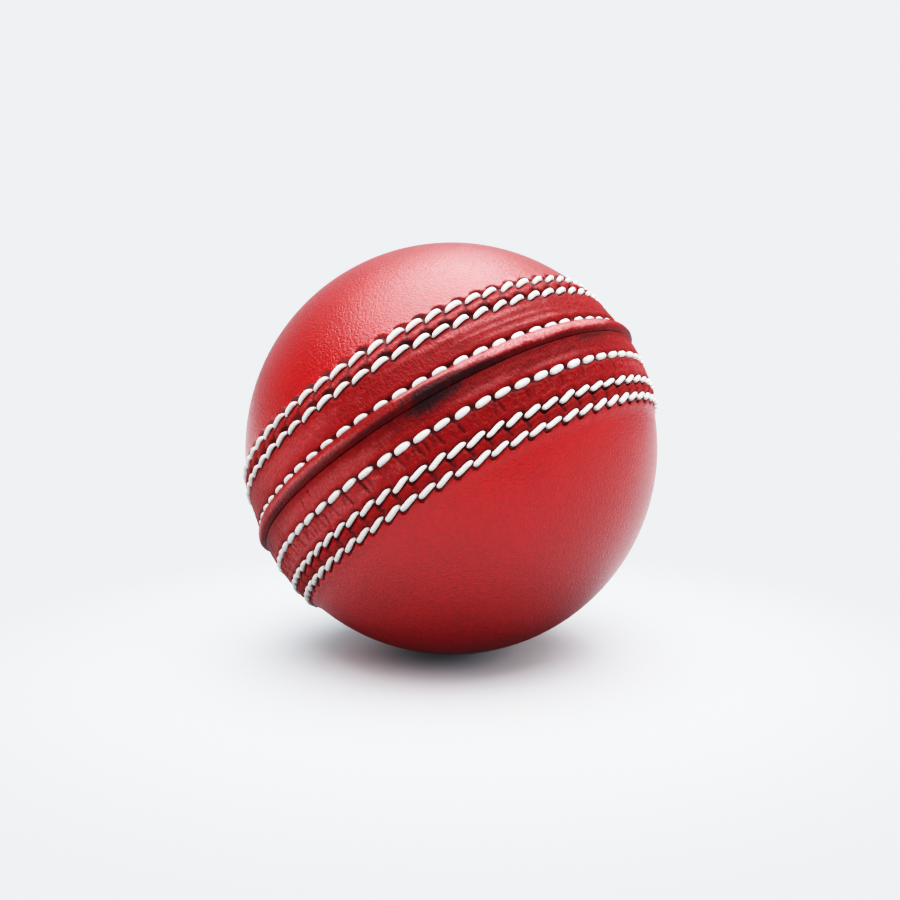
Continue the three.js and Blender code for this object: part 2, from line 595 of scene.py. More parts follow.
MARKS = (
    # Two rings all round the joint: painted shade in the joint's crease and under the upper lip.
    Mark(Wear.SOOT_AND_SHADE, 0.0, 0.25, 999.0, 0.32, 0.25),
    Mark(Wear.SOOT_AND_SHADE, 0.0, -0.4, 999.0, 0.50, 0.10),
    Mark(Wear.SOOT_AND_SHADE, 3.0, 0.9, 6.0, 1.00, 0.92),
    Mark(Wear.SOOT_AND_SHADE, 1.5, -0.4, 5.6, 1.30, 0.92),
    Mark(Wear.SOOT_AND_SHADE, 11.0, 0.6, 6.0, 0.85, 0.85),
    Mark(Wear.SOOT_AND_SHADE, 18.0, 0.4, 5.0, 0.55, 0.6),
    Mark(Wear.SOOT_AND_SHADE, 50.0, -0.5, 5.0, 0.70, 0.5),
    # Painted shade under the upper lip, with a purple-grey smear.
    Mark(Wear.SOOT_AND_SHADE, -34.0, 0.9, 13.0, 0.65, 0.62),
    Mark(Wear.SOOT_AND_SHADE, -50.0, 0.5, 6.5, 0.70, 0.45),
    Mark(Wear.SOOT_AND_SHADE, -12.0, 0.7, 8.0, 0.60, 0.55),
    Mark(Wear.SCUFF_AND_SHEEN, -36.0, 1.2, 13.0, 0.70, 0.6),
    # Pale wear on the lip's crest, partly a painted sheen.
    Mark(Wear.SCUFF_AND_SHEEN, -1.5, 2.5, 3.4, 0.50, 0.9),
    Mark(Wear.SCUFF_AND_SHEEN, 6.0, 2.3, 3.0, 0.50, 0.85),
    Mark(Wear.SCUFF_AND_SHEEN, 13.0, 2.1, 3.2, 0.70, 0.95),
    Mark(Wear.SCUFF_AND_SHEEN, 23.0, 1.9, 5.5, 0.90, 1.0),
    Mark(Wear.SCUFF_AND_SHEEN, 36.0, 1.8, 7.0, 0.95, 1.0),
    Mark(Wear.SCUFF_AND_SHEEN, 50.0, 1.7, 7.0, 0.90, 0.9),
    Mark(Wear.SCUFF_AND_SHEEN, 14.0, -2.5, 6.0, 0.60, 0.22),
    Mark(Wear.SCUFF_AND_SHEEN, 34.0, -2.9, 7.0, 0.50, 0.22),
    # Streaks across the band between the second and third rows, partly a painted sheen.
    Mark(Wear.SCUFF_AND_SHEEN, 20.0, 7.3, 13.0, 0.55, 0.50),
    Mark(Wear.SCUFF_AND_SHEEN, 27.0, 5.9, 9.0, 0.30, 0.45),
    Mark(Wear.SCUFF_AND_SHEEN, 33.0, 4.6, 9.0, 0.35, 0.40),
    Mark(Wear.SCUFF_AND_SHEEN, -40.0, 6.0, 13.0, 1.90, 0.24),
    Mark(Wear.SCUFF_AND_SHEEN, -36.0, -2.2, 16.0, 1.40, 0.28),
    Mark(Wear.SCUFF_AND_SHEEN, -44.0, -6.3, 18.0, 1.50, 0.36),
    # The pads between the upper rows, partly a painted sheen.
    Mark(Wear.SCUFF_AND_SHEEN, 8.0, 10.3, 24.0, 0.50, 0.45),
)
REPEATS = (0.0, 131.0, 237.0)  # degrees round the ball at which the marks come again


@dataclass(frozen=True)
class Weathering:
    """Where the leather of the seam is dirty or in painted shade, worn pale or given a painted sheen, dull,
    or deeply dyed.
    """

    seam: SeamFrame
    marks: tuple[Mark, ...] = MARKS
    ragged: float = 0.3  # how far the edges of the marks wander, as a share of a mark's size
    mark_edge: tuple[float, float] = (1.35, 0.35)  # where a mark has ended, and where it is full
    dull: Belt = Belt((12.8, 11.0))
    lower_dye: Belt = Belt((-12.0, -9.0), (0.65, 0.25), 0.75)
    # Deep dye below the joint, partly painted shade under the upper lip's overhang.
    beside_joint: Belt = Belt((-3.4, -1.8), (0.85, 0.35), 0.55)
    upper_dye: Belt = Belt((12.6, 9.4), (0.25, 0.65), 0.85)
    front: float = 18.0  # the turn at which the dye is deepest

    def patches(self, kind: Wear, turn: np.ndarray, height: np.ndarray) -> np.ndarray:
        """Find the strongest mark of one kind at each point. Marks have ragged edges.

        Args:
            kind: The kind of wear.
            turn: Degrees from the front, one for each point.
            height: Millimetres from the joint, one for each point.

        Returns:
            The strength of each point's wear, from 0 to 1.
        """
        place = self.seam.point(turn, height, 0 * turn)
        streaky = place * np.array([0.35, 0.35, 1.0])
        rough = cloud(streaky, 0.8, 11) + 0.6 * cloud(place, 0.45, 12)
        total = np.zeros_like(turn)
        for mark in (m for m in self.marks if m.kind is kind):
            for repeat in REPEATS:
                away = (turn - mark.turn - repeat + 180) % 360 - 180
                along = away * self.seam.girth(mark.height) / mark.along
                near = np.hypot(along, (height - mark.height) / mark.across)
                patch = smooth_step(*self.mark_edge, near + self.ragged * rough)
                total = np.maximum(total, mark.strength * patch)
        return total

    def dullness(self, height: np.ndarray) -> np.ndarray:
        """Tell how far the lacquer has worn off: wholly in the bands, not at all on the domes."""
        return self.dull.share(np.abs(height))

    def depth(self, turn: np.ndarray, height: np.ndarray) -> np.ndarray:
        """Tell how deep the dye is: deepest beside the joint, where it is partly painted shade under the
        upper lip, and between the lower rows.

        Args:
            turn: Degrees from the front, one for each point.
            height: Millimetres from the joint, one for each point.

        Returns:
            The depth at each point, from 0 to 1.
        """
        facing = [0.5 + 0.5 * np.cos(np.radians(turn - self.front - repeat)) for repeat in REPEATS]
        front = np.max(facing, axis=0) ** 5
        bands = (self.lower_dye.share(height) + self.upper_dye.share(height)) * (0.05 + 0.95 * front)
        return np.clip(bands + self.beside_joint.share(height) * (0.1 + 0.9 * front), 0, 1)


@dataclass(frozen=True)
class Lumps:
    """Unevenness of the leather, in millimetres."""

    depth: float
    size: float
    seed: int
    belt: Belt
    squeeze: tuple[float, float, float] = (1.0, 1.0, 1.0)  # below one, the lumps run long that way


WIDE_BANDS = Belt((8.6, 7.4), (3.2, 4.0))
LUMPS = (
    Lumps(0.07, 6.0, 1, Belt((99.0, 98.0))),  # everywhere
    Lumps(0.028, 0.8, 2, Belt((12.8, 11.5))),  # over the whole seam
    Lumps(0.045, 0.6, 3, WIDE_BANDS, (0.22, 0.22, 1.0)),  # wrinkles along the wide bands
    Lumps(0.030, 0.6, 4, WIDE_BANDS, (1.0, 1.0, 0.25)),  # and across them
    Lumps(0.035, 0.9, 5, Belt((3.0, 2.0)), (1.0, 1.0, 0.3)),  # across the lips
)


def cloud(points: np.ndarray, size: float, seed: int, octaves: int = 3) -> np.ndarray:
    """Give a smooth random value at each point, from about -1 to 1.

    Args:
        points: Rows of x, y and z.
        size: The width of the largest lumps, in the points' own unit.
        seed: A different cloud for each number.
        octaves: How many finer clouds are laid over the first.

    Returns:
        One value for each point.
    """
    shifted = points / size + 17.3 * seed
    return np.array([noise.fractal(point, 0.6, 2.0, octaves) for point in shifted.tolist()])


def distance_to(line: Outline | np.ndarray, x: np.ndarray, y: np.ndarray) -> np.ndarray:
    """Measure how far points are from a bent line.

    Args:
        line: The line's corners.
        x: The points' first coordinate.
        y: The points' second coordinate.

    Returns:
        The distance of each point.
    """
    best = np.full_like(x, np.inf)
    corners = np.asarray(line, float)
    for start, end in zip(corners[:-1], corners[1:]):
        step = end - start
        share = ((x - start[0]) * step[0] + (y - start[1]) * step[1]) / (step @ step)
        share = np.clip(share, 0, 1)
        away = np.hypot(x - start[0] - share * step[0], y - start[1] - share * step[1])
        best = np.minimum(best, away)
    return best


# ---------------------------------------------------------------------------- leather cups


@dataclass
class LeatherCup:
    """One moulded half of the cover, from its pole to the joint, and the lining face inside it."""

    name: str
    side: Side
    section: Outline  # height from the joint and rise, from the shoulder into the joint
    seam: SeamFrame = field(default_factory=SeamFrame)
    thickness: float = 3.6
    columns: int = 1008  # round the seam
    dome_columns: int = 126
    fine: float = 0.19  # spacing of the rings near stitches and lips, in millimetres
    coarse: float = 0.32
    joint_gap: float = 0.02
    collars: tuple[tuple[int, float, float], ...] = ((2, 0.3, 1.5), (4, 1.9, 3.5))  # coarser by, from, to
    dome_start: float = 4.1  # all three counted from the shoulder
    sewn: Belt = Belt((14.4, 12.6))  # the sewing shows no further than this
    wall_top: tuple[float, float] = (-0.2, 0.3)  # rises between which the joint's wall meets the lip
    lip_edge: tuple[float, float] = (1.2, 1.6)  # past this nothing belongs to the wall
    gap: Belt = Belt((1.5, 0.8))  # painted shade in the joint's gap, and the rises between which it starts
    gap_top: tuple[float, float] = (0.2, -0.3)
    weld: float = 0.0005  # points closer than this become one
    level_slack: float = 0.15  # an edge this close to a ring's level belongs to the ring

    def build(self) -> bpy.types.Object:
        """Build the cup.

        Returns:
            The cup, in the ball's frame.
        """
        rings = self._rings()
        seam_strip = self._strip(self.columns, rings)
        self._press(seam_strip)
        shoulder = abs(rings[0][0])
        collars = [
            self._collar(self.columns // coarser, shoulder + start, shoulder + end, 4)
            for coarser, start, end in self.collars
        ]
        dome = self._dome(shoulder + self.dome_start)
        lining = self._lining()
        parts = [seam_strip, *collars, dome, lining]
        cup = self._bridge(parts)
        self.seam.settle(cup)
        return cup

    def _rings(self) -> np.ndarray:
        """Space the rings of the seam strip along the leather's outline.

        Returns:
            Rows of height and rise.
        """
        outline = round_off(self.section, 40)
        step = np.hypot(*np.diff(outline, axis=0).T)
        travelled = np.concatenate([[0], np.cumsum(step)])
        heights = [row.height for row in ROWS if row.side is self.side]
        rings = [0.0]
        while rings[-1] < travelled[-1]:
            height = np.interp(rings[-1], travelled, outline[:, 0])
            busy = min(abs(height - h) for h in heights) < 1.7 or abs(height) < 3.2
            rings.append(rings[-1] + (self.fine if busy else self.coarse))
        rings = np.array(rings) * travelled[-1] / rings[-1]
        return np.stack([np.interp(rings, travelled, outline[:, k]) for k in (0, 1)], axis=1)

    def _strip(self, columns: int, rings: np.ndarray) -> bpy.types.Object:
        """Roll a flat grid into a ring-shaped strip of leather.

        Args:
            columns: How many faces it has round the seam.
            rings: Rows of height and rise, one for each ring of points.

        Returns:
            The strip, whose two ends touch.
        """
        deselect_all()
        bpy.ops.mesh.primitive_grid_add(
            x_subdivisions=columns, y_subdivisions=len(rings) - 1, size=1, enter_editmode=False
        )
        strip = bpy.context.object
        flat = points_of(strip)
        turn = (flat[:, 0] + 0.5) * 360
        ring = np.rint((flat[:, 1] + 0.5) * (len(rings) - 1)).astype(int)
        height, rise = rings[ring, 0], rings[ring, 1]
        store(strip, "turn", turn)
        store(strip, "height", height)
        store(strip, "rise", rise)
        move_points(strip, self.seam.point(turn, height, rise))
        return strip

    def _press(self, strip: bpy.types.Object) -> None:
        """Press the sewing and the leather's unevenness into the seam strip, and mark its wear, its painted
        shade and its painted sheen.

        Args:
            strip: The seam strip.
        """
        turn, height, rise = (recall(strip, name) for name in ("turn", "height", "rise"))
        rows = tuple(row for row in ROWS if row.side is self.side)
        relief, dark = Relief(self.seam, rows).shape(turn, height)
        weather = Weathering(self.seam)
        away = np.abs(height)
        sewn = self.sewn.share(away)
        outside = np.maximum(smooth_step(*self.wall_top, rise), smooth_step(*self.lip_edge, away))
        place = self.seam.point(turn, height, rise)
        uneven = sum(
            lumps.depth
            * lumps.belt.share(away)
            * cloud(place * np.array(lumps.squeeze), lumps.size, lumps.seed)
            for lumps in LUMPS
        )
        rise = rise + sewn * outside * (relief + uneven)
        move_points(strip, self.seam.point(turn, height, rise))
        # Painted shade deep in the joint's gap.
        gap = smooth_step(*self.gap_top, rise) * self.gap.share(away)
        soot_and_shade = weather.patches(Wear.SOOT_AND_SHADE, turn, height)
        # dark: painted shade in creases, slits, the joint's gap and round the thread, with dark stains and
        # the joint's shaded rings.
        store(strip, "dark", np.maximum(np.maximum(dark * outside, sewn * soot_and_shade), gap))
        store(strip, "scuff_and_sheen", sewn * weather.patches(Wear.SCUFF_AND_SHEEN, turn, height))
        store(strip, "worn", weather.dullness(height))
        store(strip, "deep", sewn * weather.depth(turn, height))

    def _collar(self, columns: int, low: float, high: float, count: int) -> bpy.types.Object:
        """Make a plain strip between the seam strip and the dome."""
        heights = self.side.value * np.linspace(low, high, count)
        return self._strip(columns, np.stack([heights, np.zeros(count)], axis=1))

    def _dome(self, height: float) -> bpy.types.Object:
        """Cut the dome of the cup from a sphere."""
        return self._cut_sphere(self.seam.radius, self.side.value * height, self.dome_columns, 64)

    def _lining(self) -> bpy.types.Object:
        """Cut the inner face of the cup from a smaller sphere."""
        inner = self.seam.radius - self.thickness
        return self._cut_sphere(inner, self.side.value * self.joint_gap, self.dome_columns, 48)

    def _cut_sphere(self, radius: float, height: float, segments: int, rings: int) -> bpy.types.Object:
        """Keep the part of a sphere on the cup's side of a height.

        Args:
            radius: The sphere's radius.
            height: Where it is cut, counted from the joint.
            segments: How many faces it has round the seam.
            rings: How many it has from pole to pole.

        Returns:
            The part that is kept.
        """
        deselect_all()
        bpy.ops.mesh.primitive_uv_sphere_add(segments=segments, ring_count=rings, radius=radius)
        part = bpy.context.object
        with edit_mode(part):
            bpy.ops.transform.rotate(
                value=-math.radians(self.seam.front), orient_axis="Z", center_override=(0, 0, 0)
            )
            bpy.ops.mesh.bisect(
                plane_co=(0, 0, self.seam.joint_height + height),
                plane_no=(0, 0, self.side.value),
                clear_inner=True,
            )
        return part

    def _bridge(self, parts: Sequence[bpy.types.Object]) -> bpy.types.Object:
        """Join the parts of the cup and bridge the gaps between their edges.

        Args:
            parts: The seam strip, the collars, the dome and the lining.

        Returns:
            The closed cup.
        """
        for number, part in enumerate(parts):
            store(part, "part", np.full(len(part.data.vertices), number + 1.0))
        cup = join(parts, self.name)
        with edit_mode(cup):
            bpy.ops.mesh.remove_doubles(threshold=self.weld)
        outward = [(1, 2), (2, 3), (3, 4), (5, 1)]
        for first, second in outward:
            self._bridge_pair(cup, first, second)
        with edit_mode(cup):
            bpy.ops.mesh.normals_make_consistent(inside=False)
        bpy.ops.object.shade_smooth()
        return cup

    def _bridge_pair(self, cup: bpy.types.Object, first: int, second: int) -> None:
        """Bridge the facing edges of two parts of the cup.

        Args:
            cup: The joined cup.
            first: The number of the one part.
            second: The number of the other.
        """
        mesh = cup.data
        part = np.rint(recall(cup, "part")).astype(int)
        ends = edge_ends(cup)
        loops = np.empty(len(mesh.loops), np.int32)
        mesh.loops.foreach_get("edge_index", loops)
        open_edge = np.bincount(loops, minlength=len(mesh.edges)) == 1
        height = np.abs(points_of(cup)[:, 2] - self.seam.joint_height)
        chosen = np.zeros(len(mesh.edges), bool)
        for wanted, other in ((first, second), (second, first)):
            mine = open_edge & (part[ends] == wanted).all(axis=1)
            level = height[ends].mean(axis=1)
            goal = height[ends[open_edge & (part[ends] == other).all(axis=1)]].mean()
            levels = level[mine]
            facing = levels[np.argmin(np.abs(levels - goal))]
            chosen |= mine & (np.abs(level - facing) < self.level_slack)
        with edit_mode(cup, chosen):
            bpy.ops.mesh.bridge_edge_loops()


def round_off(outline: Outline, steps: int) -> np.ndarray:
    """Draw a smooth line through an outline's points.

    Args:
        outline: The points.
        steps: How many short steps to take between two of them.

    Returns:
        Rows of the smooth line's points.
    """
    points = np.asarray(outline, float)
    padded = np.vstack([2 * points[0] - points[1], points, 2 * points[-1] - points[-2]])
    share = np.linspace(0, 1, steps, endpoint=False)[:, None]
    smooth = []
    for before, start, end, after in zip(padded, padded[1:], padded[2:], padded[3:]):
        reach = np.linalg.norm(end - start)
        leave = reach * (end - before) / max(np.linalg.norm(end - before), 1e-9)
        arrive = reach * (after - start) / max(np.linalg.norm(after - start), 1e-9)
        smooth.append(
            (2 * share**3 - 3 * share**2 + 1) * start
            + (share**3 - 2 * share**2 + share) * leave
            + (3 * share**2 - 2 * share**3) * end
            + (share**3 - share**2) * arrive
        )
    return np.vstack([*smooth, points[-1:]])


def store(piece: bpy.types.Object, name: str, values: np.ndarray) -> None:
    """Keep one number for each of a mesh's points.

    Args:
        piece: The object that holds the mesh.
        name: What the numbers are called.
        values: The numbers.
    """
    mesh = piece.data
    attribute = mesh.attributes.get(name) or mesh.attributes.new(name, "FLOAT", "POINT")
    attribute.data.foreach_set("value", np.asarray(values, np.float32))


def recall(piece: bpy.types.Object, name: str) -> np.ndarray:
    """Read back the numbers kept for a mesh's points.

    Args:
        piece: The object that holds the mesh.
        name: What the numbers are called.

    Returns:
        The numbers.
    """
    values = np.empty(len(piece.data.vertices), np.float32)
    piece.data.attributes[name].data.foreach_get("value", values)
    return values.astype(float)


# ---------------------------------------------------------------------------- rows of thread


@dataclass
class StitchedRow:
    """A whole row of stitches, made from one stitch that is copied round the ball."""

    row: StitchRow
    leather: Outline  # the section of the cup that the row lies on
    seam: SeamFrame = field(default_factory=SeamFrame)
    sides: int = 8
    rings: int = 12
    slide: float = 0.7  # how far a deeper stitch slips towards the joint, as a share of its sag
    twist: float = 2.2  # how unevenly the stitches are turned, in degrees
    stretch: tuple[float, float] = (0.03, 0.04)  # how unevenly they are stretched, along and across

    def build(self) -> bpy.types.Object:
        """Build the row.

        Returns:
            The row, in the ball's frame.
        """
        stitch = self._stitch()
        copies = [self._copy(stitch, turn, luck) for turn, luck in self._places()]
        bpy.data.objects.remove(stitch)
        row = join(copies, self.row.node.replace("stitch", "thread"))
        make_active(row)
        bpy.ops.object.shade_smooth()
        self.seam.settle(row)
        return row

    def _places(self) -> list[tuple[float, np.ndarray]]:
        """Give each stitch its place.

        Returns:
            Each stitch's turn, and three random numbers for its unevenness.
        """
        luck = np.random.default_rng(SEED + 7 * self.row.stitches + int(self.row.height))
        turns = self.row.turns()
        return list(zip(turns, luck.normal(0, 1, (len(turns), 3))))

    def _stitch(self) -> bpy.types.Object:
        """Shape one stitch from a sphere: drawn out, bent, and dipped at both ends.

        Returns:
            The stitch, round the origin.
        """
        deselect_all()
        bpy.ops.mesh.primitive_uv_sphere_add(
            segments=self.sides, ring_count=self.rings, radius=1, rotation=(0, math.pi / 2, 0)
        )
        stitch = bpy.context.object
        bpy.ops.object.transform_apply(location=False, rotation=True, scale=False)
        round_points = points_of(stitch)
        share = np.arcsin(np.clip(round_points[:, 0], -1, 1)) / math.pi
        middle = self.row.shape.line(share)
        girth = np.hypot(round_points[:, 1], round_points[:, 2])
        unit = round_points[:, 1:] / np.maximum(girth, 1e-6)[:, None]
        radius = self.row.shape.thickness(share) * (girth > 1e-5)
        middle[:, 1:] += unit * radius[:, None]
        move_points(stitch, middle)
        store(stitch, "along", share * self.row.shape.length)
        store(stitch, "across", unit[:, 0] * (girth > 1e-5))
        return stitch

    def _copy(self, stitch: bpy.types.Object, turn: float, luck: np.ndarray) -> bpy.types.Object:
        """Copy the stitch to its place on the leather, slightly turned and stretched.

        Args:
            stitch: The stitch.
            turn: Degrees from the front.
            luck: Three random numbers.

        Returns:
            The copy, in the seam's frame.
        """
        copy = stitch.copy()
        copy.data = stitch.data.copy()
        bpy.context.scene.collection.objects.link(copy)
        outline = round_off(self.leather, 20)
        order = np.argsort(outline[:, 0])
        rise = np.interp(self.row.height, outline[order, 0], outline[order, 1])
        sag = self.row.sag(turn)
        height = self.row.height - self.slide * sag
        spot = self.seam.point(np.array(turn), np.array(height), np.array(rise - sag))
        angle = math.radians(self.seam.front + turn)
        outward = Vector(spot).normalized()
        along = Vector((-math.sin(angle), math.cos(angle), 0))
        up = outward.cross(along)
        stand = Matrix((along, up, outward)).transposed().to_4x4()
        twist = Matrix.Rotation(math.radians(self.twist * luck[0]), 4, "Z")
        longer, wider = (1 + share * chance for share, chance in zip(self.stretch, luck[1:]))
        stretch = Matrix.Diagonal((longer, wider, 1, 1))
        copy.data.transform(Matrix.Translation(Vector(spot)) @ stand @ twist @ stretch)
        return copy


# ---------------------------------------------------------------------------- the core


@dataclass
class CoreLayer:
    """One layer of the core: a hollow ball, or half of one, or with no inner radius a solid pill."""

    node: str
    outer: float
    inner: float = 0.0
    low: float | None = None  # where the layer is cut below and above, along the seam's axis
    high: float | None = None
    seam: SeamFrame = field(default_factory=SeamFrame)
    segments: int = 72
    rings: int = 36

    def build(self) -> bpy.types.Object:
        """Build the layer.

        Returns:
            The layer, in the ball's frame.
        """
        radii = [radius for radius in (self.outer, self.inner) if radius]
        layer = join([self._skin(radius) for radius in radii], self.node.replace("_", "_layer_", 1))
        if self.inner:
            self._close(layer)
        with edit_mode(layer):
            bpy.ops.mesh.normals_make_consistent(inside=False)
        bpy.ops.object.shade_smooth_by_angle(angle=math.radians(40))
        self.seam.settle(layer)
        return layer

    def _skin(self, radius: float) -> bpy.types.Object:
        """Make one face of the layer from a sphere, cut where the layer is.

        Args:
            radius: The sphere's radius.

        Returns:
            The face.
        """
        deselect_all()
        bpy.ops.mesh.primitive_uv_sphere_add(
            segments=self.segments, ring_count=self.rings, radius=radius
        )
        skin = bpy.context.object
        for level, way in ((self.low, 1), (self.high, -1)):
            if level is not None:
                with edit_mode(skin):
                    bpy.ops.mesh.bisect(plane_co=(0, 0, level), plane_no=(0, 0, way), clear_inner=True)
        return skin

    def _close(self, layer: bpy.types.Object) -> None:
        """Bridge the outer face to the inner one at each cut.

        Args:
            layer: The two faces, joined.
        """
        for level in (self.low, self.high):
            if level is not None:
                heights = points_of(layer)[:, 2][edge_ends(layer)]
                with edit_mode(layer, (np.abs(heights - level) < 1e-3).all(axis=1)):
                    bpy.ops.mesh.bridge_edge_loops()


# ---------------------------------------------------------------------------- finishes


@dataclass(frozen=True)
class LacqueredLeather:
    """Alum-tanned cowhide, dyed red and lacquered.

    The lacquer gives the domes a broad, soft gloss over fine grain. Along the seam it is worn off, and
    the fibres catch the light instead; the pale scuffs there are partly a painted sheen.
    """

    dye: str = "b30f11"
    faded_dye: str = "9c0709"
    deep_dye: str = "5f0103"
    # pale scuffs, partly a painted sheen
    scuffed_and_sheen: str = "d27c7d"
    # the colour of dark stains and of the painted shade in creases, slits, the joint and round the thread
    soot_and_shade: str = "1c0a10"
    # Each pattern's size in millimetres. Real pores and fibres are finer than this, about 0.1 mm, and
    # are drawn as coarse as they need to be to show.
    patch: float = 9.0
    mottle: float = 0.75
    fleck: float = 0.3
    streak: float = 0.9
    speckle: float = 0.35
    grain: float = 0.7
    pore: float = 0.24
    fibre: float = 0.3
    roughness: tuple[float, float] = (0.42, 0.55)  # lacquered, and worn
    lacquer: tuple[float, float] = (1.0, 0.35)  # its weight, likewise
    soaked: tuple[float, float] = (1.0, 0.25)  # what is left of the lacquer where the dye is deepest
    lacquer_roughness: float = 0.28
    lacquer_ior: float = 1.6
    leather_specular: float = 0.15

    def material(self, seam: SeamFrame) -> bpy.types.Material:
        """Make the material.

        Args:
            seam: Where the seam lies, which the streaks and the fibres follow.

        Returns:
            The material.
        """
        finish, tree = blank_material("lacquered_red_leather")
        place = add_node(tree, "TexCoord", output="Object")
        upright = seam.turned().inverted().to_euler()
        seam_place = add_node(tree, "Mapping", {"Vector": place, "Rotation": upright})
        worn = add_node(tree, "Attribute", output="Fac", attribute_name="worn")
        deep = add_node(tree, "Attribute", output="Fac", attribute_name="deep")
        lacquer = 1.0
        for share, (start, end) in ((worn, self.lacquer), (deep, self.soaked)):
            left = add_node(tree, "MapRange", {"Value": share, "To Min": start, "To Max": end})
            lacquer = add_node(tree, "Math", {0: lacquer, 1: left}, operation="MULTIPLY")
        dull, rough = self.roughness
        relief = self._grain(tree, place, seam_place, worn)
        shader = add_node(
            tree, "BsdfPrincipled",
            {
                "Base Color": self._colour(tree, place, seam_place, worn, deep),
                "Roughness": add_node(tree, "MapRange", {"Value": worn, "To Min": dull, "To Max": rough}),
                "Specular IOR Level": self.leather_specular,
                "Coat Weight": lacquer,
                "Coat IOR": self.lacquer_ior,
                "Coat Roughness": self.lacquer_roughness,
                "Normal": relief,
                "Coat Normal": relief,
            },
        )
        add_node(tree, "OutputMaterial", {"Surface": shader})
        return finish

    def _colour(
        self, tree: bpy.types.NodeTree, place: Socket, seam_place: Socket, worn: Socket, deep: Socket
    ) -> Socket:
        """Dye the leather in uneven patches, then deepen it, pale it with scuffs and painted sheen, and
        darken it with dark stains and painted shade.

        Args:
            tree: The material's node tree.
            place: Where the surface is.
            seam_place: The same in the seam's frame.
            worn: How far the lacquer has worn off.
            deep: How deep the dye is.

        Returns:
            The colour.
        """
        streaked = add_node(tree, "VectorMath", {0: seam_place, 1: (0.3, 0.3, 1.0)}, operation="MULTIPLY")
        patches, mottle, flecks, streaks, speckle = (
            add_node(tree, "TexNoise", {"Vector": spot, "Scale": per_mm(size), "Detail": detail})
            for spot, size, detail in (
                (place, self.patch, 4.0), (place, self.mottle, 3.0), (place, self.fleck, 2.0),
                (streaked, self.streak, 4.0), (place, self.speckle, 3.0),
            )
        )
        pooled, flecked, speckled = (
            add_node(
                tree, "MapRange", {"Value": value, "From Min": low, "From Max": high, "To Max": most},
                interpolation_type="SMOOTHSTEP",
            )
            for value, low, high, most in (
                (mottle, 0.62, 0.36, 0.22), (flecks, 0.62, 0.36, 1.0), (speckle, 0.42, 0.60, 1.0),
            )
        )
        scuff_and_sheen, dark = (
            add_node(tree, "Attribute", output="Fac", attribute_name=name) for name in ("scuff_and_sheen", "dark")
        )
        fibrous, deepened, paled = (
            add_node(
                tree, "Math",
                {0: share, 1: add_node(tree, "MapRange", {"Value": by, "To Min": start, "To Max": end})},
                operation="MULTIPLY",
            )
            for share, by, start, end in (
                (flecked, worn, 0.0, 0.42), (deep, streaks, 1.25, 0.45), (scuff_and_sheen, speckled, 0.55, 1.0),
            )
        )
        colour = linear(self.faded_dye)
        for share, tint in (
            (patches, self.dye), (pooled, self.deep_dye), (fibrous, self.deep_dye),
            (deepened, self.deep_dye), (paled, self.scuffed_and_sheen), (dark, self.soot_and_shade),
        ):
            colour = add_node(tree, "Mix", {0: share, 6: colour, 7: linear(tint)}, 2, data_type="RGBA")
        return colour

    def _grain(
        self, tree: bpy.types.NodeTree, place: Socket, seam_place: Socket, worn: Socket
    ) -> Socket:
        """Raise the grain: cells all over, pores within them, and fibres where the leather is worn.

        Args:
            tree: The material's node tree.
            place: Where the surface is.
            seam_place: The same in the seam's frame.
            worn: How far the lacquer has worn off.

        Returns:
            The bumped normal.
        """
        cells = add_node(
            tree, "TexVoronoi", {"Vector": place, "Scale": per_mm(self.grain)},
            "Distance", feature="DISTANCE_TO_EDGE",
        )
        pads = add_node(
            tree, "MapRange", {"Value": cells, "From Max": 0.3}, interpolation_type="SMOOTHSTEP"
        )
        fibrous = add_node(tree, "VectorMath", {0: seam_place, 1: (1.0, 1.0, 0.5)}, operation="MULTIPLY")
        pores, fibres = (
            add_node(tree, "TexNoise", {"Vector": spot, "Scale": per_mm(size), "Detail": 3.0})
            for spot, size in ((place, self.pore), (fibrous, self.fibre))
        )
        normal = add_node(tree, "Bump", {"Height": pads, "Strength": 0.45, "Distance": 0.07 * MM})
        for height, strength, depth in ((pores, 0.8, 0.09), (fibres, worn, 0.22)):
            normal = add_node(
                tree, "Bump",
                {"Height": height, "Strength": strength, "Distance": depth * MM, "Normal": normal},
            )
        return normal


